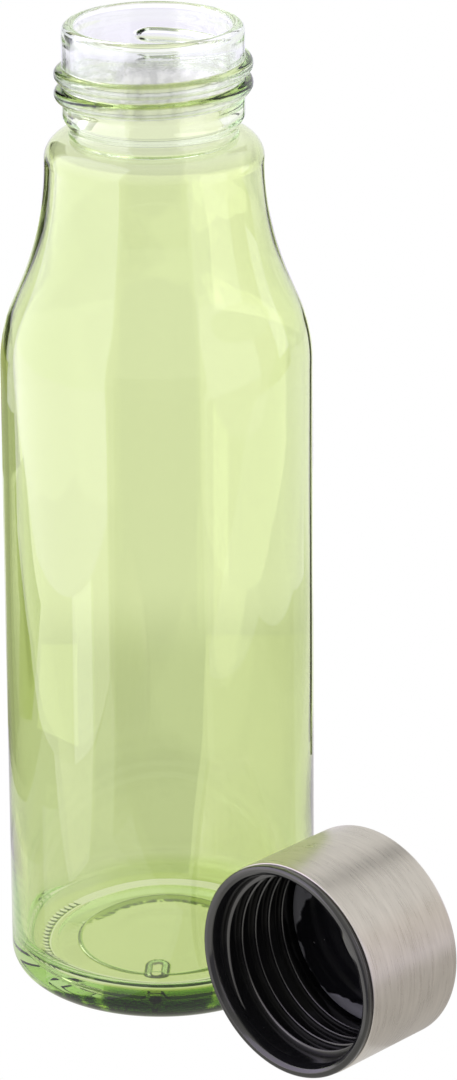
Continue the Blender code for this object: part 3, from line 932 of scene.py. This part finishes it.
def seal_rings():
    """Radii and heights from the middle of the face, over the edge and round the back."""
    face_z = SEAL_FACE_DEPTH + SEAL_RIM_HEIGHT
    back_z = SEAL_FACE_DEPTH + SEAL_THICKNESS
    points = [(0.0, face_z), (0.6 * SEAL_RADIUS, face_z)]
    for i in range(SEAL_ROWS + 1):
        points.append((SEAL_RADIUS * between(SEAL_FINE_START, 1.0, i / SEAL_ROWS), face_z))
    return points + [(SEAL_RADIUS, back_z), (0.0, back_z)]


def film_radius(degrees):
    """How far from the seal's middle its film starts."""
    for (start, start_r), (end, end_r) in zip(SEAL_FILM_EDGE[:-1], SEAL_FILM_EDGE[1:]):
        if degrees <= end:
            return between(start_r, end_r, smooth_step(degrees, start, end))
    return SEAL_FILM_EDGE[-1][1]


def ragged_edge():
    """The film's edge by angle, with waves and notches that are the same on each run."""
    chance = random.Random(SEAL_SEED)
    waves = []
    for count in SEAL_WAVES:
        phase = chance.uniform(0.0, 2.0 * math.pi)
        waves.append((count, phase, chance.uniform(0.3, 1.0)))

    def edge(angle):
        total = 0.0
        for count, phase, size in waves:
            total += size * math.sin(count * angle + phase) / count ** 0.3
        return film_radius(math.degrees(angle) % 360.0) + SEAL_EDGE_RAGGED * total

    return edge


def seal_edge():
    """Two functions of a place on the seal: where it moves to, and how torn it is."""
    edge = ragged_edge()
    face_z = SEAL_FACE_DEPTH + SEAL_RIM_HEIGHT

    def torn(r, z, angle):
        """0 on the smooth face and 1 on the torn edge."""
        if z > face_z:
            return 0.0
        return smooth_step(r, edge(angle) - SEAL_TEAR_START, edge(angle) + SEAL_TEAR_END)

    def seal_point(r, z, angle):
        """Lifts the seal's edge towards the mouth, outside its ragged line."""
        if z > face_z:
            return r, z
        rise = smooth_step(r, SEAL_LIFT_START, SEAL_RADIUS)
        return r, z - SEAL_LIFT * rise - SEAL_STEP * torn(r, z, angle)

    return seal_point, torn


def cap_frame():
    """Where the cap lies: on its side, turned about Z, just clear of the bottle's wall."""
    along = Vector((math.cos(CAP_TURN), math.sin(CAP_TURN), 0.0))
    away = Vector((math.sin(CAP_TURN), -math.cos(CAP_TURN), 0.0))
    centre = AXIS + away * (BODY_RADIUS + CLEARANCE + CAP_RADIUS) - along * CAP_TOUCH
    centre.z = CAP_RADIUS
    turn = Matrix.Rotation(CAP_TURN, 4, "Z") @ Matrix.Rotation(0.5 * math.pi, 4, "Y")
    return Matrix.Translation(centre) @ turn


def finish_cap_piece(wall, name, material, node):
    """The finished piece, laid down with the cap, in place of its node."""
    piece = wall.finish(name, SHARP_ANGLE)
    piece.data.transform(cap_frame())
    piece.data.materials.append(material)
    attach(piece, "root")
    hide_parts(node)
    return piece


def make_cover(steel):
    """The cap's steel cover."""
    shell = WallMesh(cap_frame())
    shell.rings(shell_profile(), columns=CAP_COLUMNS)
    finish_cap_piece(shell, "cap_cover", steel, "cap_shell")


def make_lining(plastic):
    """The cap's plastic lining: the bore's floor and wall, the rim, the back and the thread."""
    lining = WallMesh(cap_frame())
    floor_z = lining_bore()[0][1]
    lining.ring(0.0, floor_z)
    lining.ring(0.5 * BORE_RADIUS, floor_z, columns=CAP_COLUMNS)
    lining.rings(lining_bore(), columns=CAP_COLUMNS)
    lining.rings(rim_profile()[1:], place=rim_point, columns=CAP_COLUMNS)
    lining.rings(lining_back(), columns=CAP_COLUMNS)
    add_ridge(lining.mesh)
    finish_cap_piece(lining, "cap_lining", plastic, "cap_insert")


def make_seal(rubber):
    """The seal at the bottom of the cap."""
    seal = WallMesh(cap_frame())
    seal_point, torn = seal_edge()
    seal.rings(seal_rings(), place=seal_point, columns=SEAL_COLUMNS, frost=torn)
    finish_cap_piece(seal, "cap_seal_disc", rubber, "cap_seal")


class Shading:
    """The nodes of a material or of the world, made and joined in short calls."""

    def __init__(self, owner):
        owner.use_nodes = True
        self.owner = owner
        self.nodes = owner.node_tree.nodes
        self.links = owner.node_tree.links
        self.shader = self.nodes.get("Principled BSDF")
        self.end = self.nodes.get("Material Output") or self.nodes["World Output"]

    def feed(self, socket, value):
        """Gives a socket its value: a number, a colour, or what another node puts out."""
        if isinstance(value, bpy.types.NodeSocket):
            self.links.new(value, socket)
        else:
            socket.default_value = value

    def give(self, name, value):
        """Feeds one of the shader's own sockets."""
        self.feed(self.shader.inputs[name], value)

    def node(self, kind, output, inputs=None, **settings):
        """What a new node of this kind puts out, with its inputs fed by name or number."""
        node = self.nodes.new("ShaderNode" + kind)
        for name, value in settings.items():
            setattr(node, name, value)
        for name, value in (inputs or {}).items():
            self.feed(node.inputs[name], value)
        return node.outputs[output]

    def place(self):
        return self.node("TexCoord", "Object")

    def attribute(self, name, output):
        return self.node("Attribute", output, attribute_name=name)

    def math(self, operation, *values):
        return self.node("Math", 0, dict(enumerate(values)), operation=operation)

    def noise(self, vector, scale, detail, roughness=0.5):
        """Noise with about this many features per unit of the vector."""
        inputs = {"Vector": vector, "Scale": scale, "Detail": detail, "Roughness": roughness}
        return self.node("TexNoise", "Fac", inputs)

    def stretched(self, vector, scale):
        return self.node("Mapping", "Vector", {"Vector": vector, "Scale": scale})

    def ranged(self, value, low, high, out_low, out_high):
        """Maps low..high of the value to out_low..out_high, and holds it beyond them."""
        inputs = {"Value": value, "From Min": low, "From Max": high}
        inputs.update({"To Min": out_low, "To Max": out_high})
        return self.node("MapRange", "Result", inputs)

    def mixed(self, factor, first, second):
        """The first colour where the factor is 0, and the second where it is 1."""
        return self.node("Mix", "Result", {"Factor": factor, "A": first, "B": second}, data_type="RGBA")

    def colour(self, channels):
        return self.node("CombineColor", "Color", dict(zip(("Red", "Green", "Blue"), channels)))

    def bump(self, height, strength, distance):
        inputs = {"Height": height, "Strength": strength, "Distance": distance}
        self.give("Normal", self.node("Bump", "Normal", inputs))

    def emission(self, radiance):
        """Light with this much red, green and blue."""
        strength = max(radiance)
        colour = (*[part / strength for part in radiance], 1.0)
        return self.node("Emission", "Emission", {"Color": colour, "Strength": strength})

    def show(self, light, shown=None):
        """Puts out only this light. The camera sees what is shown instead, where that is given."""
        if self.shader:
            self.nodes.remove(self.shader)
        if shown:
            camera = self.node("LightPath", "Is Camera Ray")
            light = self.node("MixShader", "Shader", {0: camera, 1: light, 2: shown})
        self.feed(self.end.inputs["Surface"], light)
        return self.owner


def new_shading(name):
    return Shading(bpy.data.materials.new(name))


def lacquer_and_shade_filter(glass, rough):
    """What passes the lacquer, by its thickness and by the length of the way through it. Thick lacquer
    is also darkened, which paints shade.
    """
    lacquer = glass.attribute("lacquer", "Fac")
    slant = glass.math("MULTIPLY_ADD", glass.node("LayerWeight", "Facing"), LACQUER_GRAZING, 1.0)
    thickness = glass.math("MULTIPLY", lacquer, slant)
    # Darkening of the thick lacquer is painted shade
    painted_shade = glass.math("MAXIMUM", glass.math("SUBTRACT", lacquer, PAINTED_SHADE_FROM), 0.0)
    kept = glass.math("SUBTRACT", 1.0, glass.math("MULTIPLY", rough, FROST_LOSS))
    passed = glass.math("MULTIPLY", glass.math("POWER", PAINTED_SHADE_DARKENING, painted_shade), kept)
    filtered = [glass.math("POWER", base, thickness) for base in LACQUER_COLOUR]
    return glass.colour([glass.math("MULTIPLY", channel, passed) for channel in filtered])


def lacquered_glass():
    """Clear glass under its coat of lacquer, with a rough patch inside the neck."""
    glass = new_shading("lacquered_glass")
    glass.give("Transmission Weight", 1.0)
    glass.give("IOR", GLASS_IOR)
    place = glass.place()
    patches = glass.ranged(glass.noise(place, FROST_PATCHES, 2.0), 0.42, 0.62, 0.55, 1.0)
    rough = glass.math("MULTIPLY", glass.attribute("frost", "Fac"), patches)
    glass.give("Base Color", lacquer_and_shade_filter(glass, rough))
    glass.give("Roughness", glass.math("MULTIPLY", rough, FROST_ROUGHNESS))
    glass.bump(glass.noise(place, FROST_GRAIN, 2.0, 0.6), rough, FROST_GRAIN_HEIGHT)
    inputs = {"Color": GLASS_ABSORPTION_COLOUR, "Density": GLASS_ABSORPTION_DENSITY}
    glass.feed(glass.end.inputs["Volume"], glass.node("VolumeAbsorption", "Volume", inputs))
    return glass.owner


def brushed_steel():
    """Steel brushed round the cap: fine grooves, and longer and lighter streaks along them."""
    steel = new_shading("brushed_steel")
    steel.give("Metallic", 1.0)
    steel.give("Anisotropic", 0.6)
    steel.give("Tangent", steel.attribute("around", "Vector"))
    brush = steel.attribute("brush", "Vector")
    fine = steel.noise(steel.stretched(brush, FINE_BRUSHING), 1.0, 3.0, 0.6)
    streaks = steel.noise(steel.stretched(brush, STREAK_BRUSHING), 1.0, 4.0, 0.6)
    clouds = steel.noise(steel.stretched(brush, CLOUD_BRUSHING), 1.0, 2.0)
    tone = steel.math("MULTIPLY_ADD", fine, 0.45, streaks)
    tone = steel.math("MULTIPLY_ADD", clouds, 0.5, tone)
    shade = steel.ranged(tone, *STEEL_TONES, 1.0 - STEEL_STREAK, 1.0 + STEEL_STREAK)
    channels = [steel.math("MULTIPLY", shade, base) for base in STEEL_COLOUR]
    steel.give("Base Color", steel.colour(channels))
    steel.give("Roughness", steel.ranged(tone, *STEEL_TONES, *STEEL_ROUGHNESS))
    steel.bump(fine, 0.25, 0.00001)
    return steel.owner


def black_plastic():
    """Glossy black plastic with a faint unevenness from its mould, a little dust, and painted warmth on
    its reflections.
    """
    plastic = new_shading("black_plastic")
    place = plastic.place()
    dust = plastic.ranged(plastic.noise(place, 1900.0, 2.0), 0.74, 0.80, 0.0, 1.0)
    plastic.give("Base Color", plastic.mixed(dust, PLASTIC_COLOUR, PLASTIC_DUST))
    smear = plastic.noise(place, 110.0, 3.0)
    plastic.give("Roughness", plastic.ranged(smear, 0.3, 0.7, *PLASTIC_ROUGHNESS))
    plastic.give("IOR", PLASTIC_IOR)
    plastic.give("Specular Tint", PLASTIC_REFLECTION_WARMTH)
    plastic.bump(plastic.noise(place, 420.0, 2.0), 0.12, 0.00004)
    return plastic.owner


def seal_rubber():
    """Smooth black sealing material with a few pale specks, and a greyer film where it is torn, whose
    grey is partly a painted reflection.
    """
    rubber = new_shading("seal_rubber")
    place = rubber.place()
    torn = rubber.attribute("frost", "Fac")
    specks = rubber.ranged(rubber.noise(place, 1300.0, 1.0), 0.80, 0.82, 0.0, 1.0)
    face = rubber.mixed(specks, SEAL_COLOUR, SEAL_SPECKS)
    rubber.give("Base Color", rubber.mixed(torn, face, SEAL_FILM_AND_PAINTED_REFLECTION))
    smear = rubber.ranged(rubber.noise(place, 160.0, 3.0), 0.3, 0.7, *SEAL_ROUGHNESS)
    rubber.give("Roughness", rubber.math("MULTIPLY_ADD", torn, SEAL_TORN_ROUGHNESS, smear))
    rubber.bump(rubber.noise(place, 300.0, 2.0), 0.15, 0.00005)
    return rubber.owner


def glow(name, radiance):
    """A material that only gives light."""
    shading = new_shading(name)
    return shading.show(shading.emission(radiance))


def stage_face(name, corners, material, seen=False):
    """A flat face of the studio, at corners that are measured from the bottle's axis."""
    data = bpy.data.meshes.new(name)
    data.from_pydata([AXIS + Vector(corner) for corner in corners], [], [range(len(corners))])
    data.materials.append(material)
    obj = bpy.data.objects.new(name, data)
    bpy.context.scene.collection.objects.link(obj)
    obj.visible_camera = seen
    obj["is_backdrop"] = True
    return obj


def card(name, places, bottom, top, radiance):
    """A card that stands on edge along these places (x, y)."""
    for i, (start, end) in enumerate(zip(places[:-1], places[1:])):
        corners = [(*start, bottom), (*end, bottom), (*end, top), (*start, top)]
        stage_face(f"card_{name}_{i}", corners, glow(f"card_{name}", radiance))


def table_area(name, layer, places, radiance):
    """A part of the table that is lighter or darker than the rest."""
    corners = [(x, y, LAYER_HEIGHT * layer) for x, y in places]
    stage_face(f"table_{name}", corners, glow(f"table_{name}", radiance))


def table_glow():
    """The table's light by distance behind the bottle. The camera sees it white."""
    table = new_shading("table")
    behind = table.node("SeparateXYZ", "Y", {"Vector": table.place()})
    share = table.ranged(behind, AXIS.y, AXIS.y + TABLE_RAMP_LENGTH, 0.0, 1.0)
    colour = table.node("ValToRGB", "Color", {"Fac": share})
    ramp = colour.node.color_ramp
    ramp.interpolation = "EASE"
    while len(ramp.elements) < len(TABLE_RAMP):
        ramp.elements.new(1.0)
    for element, (distance, radiance) in zip(ramp.elements, TABLE_RAMP):
        element.position = distance / TABLE_RAMP_LENGTH
        element.color = (*[part / TABLE_STRENGTH for part in radiance], 1.0)
    light = table.node("Emission", "Emission", {"Color": colour, "Strength": TABLE_STRENGTH})
    return table.show(light, table.emission(WHITE[:3]))


def make_world():
    """An evenly lit room, which the camera sees white."""
    world = bpy.context.scene.world or bpy.data.worlds.new("studio")
    bpy.context.scene.world = world
    room = Shading(world)
    light = room.node("Background", "Background", {"Color": WHITE, "Strength": ROOM_LIGHT})
    room.show(light, room.node("Background", "Background", {"Color": WHITE, "Strength": 1.0}))


def make_studio():
    """A pale table between a tall bright card at the left, a lower one at the right, and dark cards."""
    make_world()
    size = TABLE_HALF_SIZE
    corners = [(-size, -size, 0.0), (size, -size, 0.0), (size, size, 0.0), (-size, size, 0.0)]
    stage_face("table", corners, table_glow(), True)
    for area in TABLE_AREAS:
        table_area(*area)
    for place in CARDS:
        card(*place)


def make_camera():
    """The photo's view: from the front, a little from above, with a long lens."""
    data = bpy.data.cameras.new("camera")
    data.sensor_fit = "VERTICAL"
    data.sensor_height = SENSOR_HEIGHT_MM
    data.lens = LENS_MM
    data.clip_end = 20.0
    camera = bpy.data.objects.new("camera", data)
    bpy.context.scene.collection.objects.link(camera)
    place = AXIS + Vector((0.0, -CAMERA_BACK, CAMERA_HEIGHT))
    turn = Matrix.Rotation(-CAMERA_YAW, 4, "Z")
    tilt = Matrix.Rotation(0.5 * math.pi - CAMERA_PITCH, 4, "X")
    roll = Matrix.Rotation(CAMERA_ROLL, 4, "Z")
    camera.matrix_world = Matrix.Translation(place) @ turn @ tilt @ roll
    bpy.context.scene.camera = camera


def set_picture():
    """Plain colours, and enough bounces for light to pass all the walls of glass."""
    scene = bpy.context.scene
    scene.view_settings.view_transform = "Standard"
    scene.view_settings.look = "None"
    scene.cycles.use_denoising = True
    scene.cycles.max_bounces = 32
    scene.cycles.transmission_bounces = 32
    scene.cycles.glossy_bounces = 16


def write_sizes():
    """Works out the CAD box and the box of what shows, but keeps neither."""
    boxes = {"cad": CAD_BOX, "visual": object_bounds()}
    boxes = {name: [list(corner) for corner in box] for name, box in boxes.items()}


make_camera()
set_picture()
make_studio()
bottle = make_bottle(lacquered_glass())
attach(bottle, "root")
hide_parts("bottle")
make_cover(brushed_steel())
make_lining(black_plastic())
make_seal(seal_rubber())
write_sizes()
